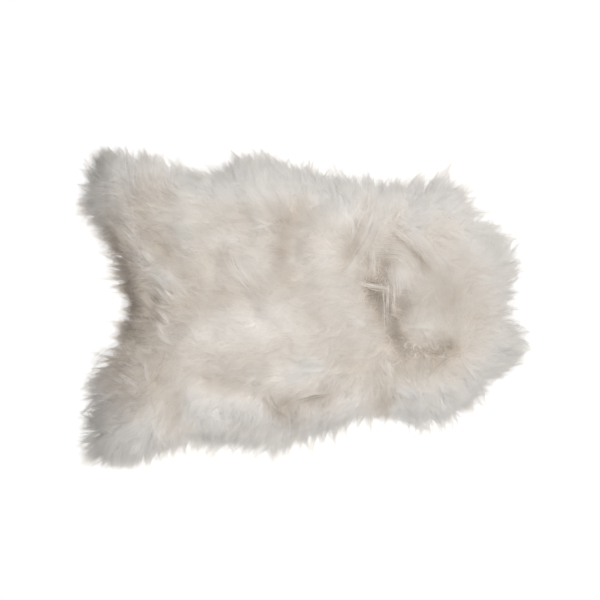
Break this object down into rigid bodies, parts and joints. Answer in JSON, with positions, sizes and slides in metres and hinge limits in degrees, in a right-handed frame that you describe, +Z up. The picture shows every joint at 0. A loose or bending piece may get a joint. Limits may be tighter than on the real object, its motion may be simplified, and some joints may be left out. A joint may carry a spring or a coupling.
{
  "type": "sheepskin rug",
  "caption": "Long-haired ivory sheepskin rug lying flat, with two hind-leg lobes, a rear notch, a rounded neck end and lumpy wool with locks round its rim.",
  "frame": {"origin": "on the floor, under the middle of the rug's length and width", "axes": "+X towards the neck end, -X towards the two hind-leg lobes, +Y across the skin, +Z up"},
  "size_m": [1.05, 0.736, 0.07],
  "materials": {
    "wool": "long ivory wool with grey-white tips and warm beige partings, soft low sheen"
  },
  "bodies": {
    "root": {"sheepskin": "wool"}
  },
  "joints": []
}
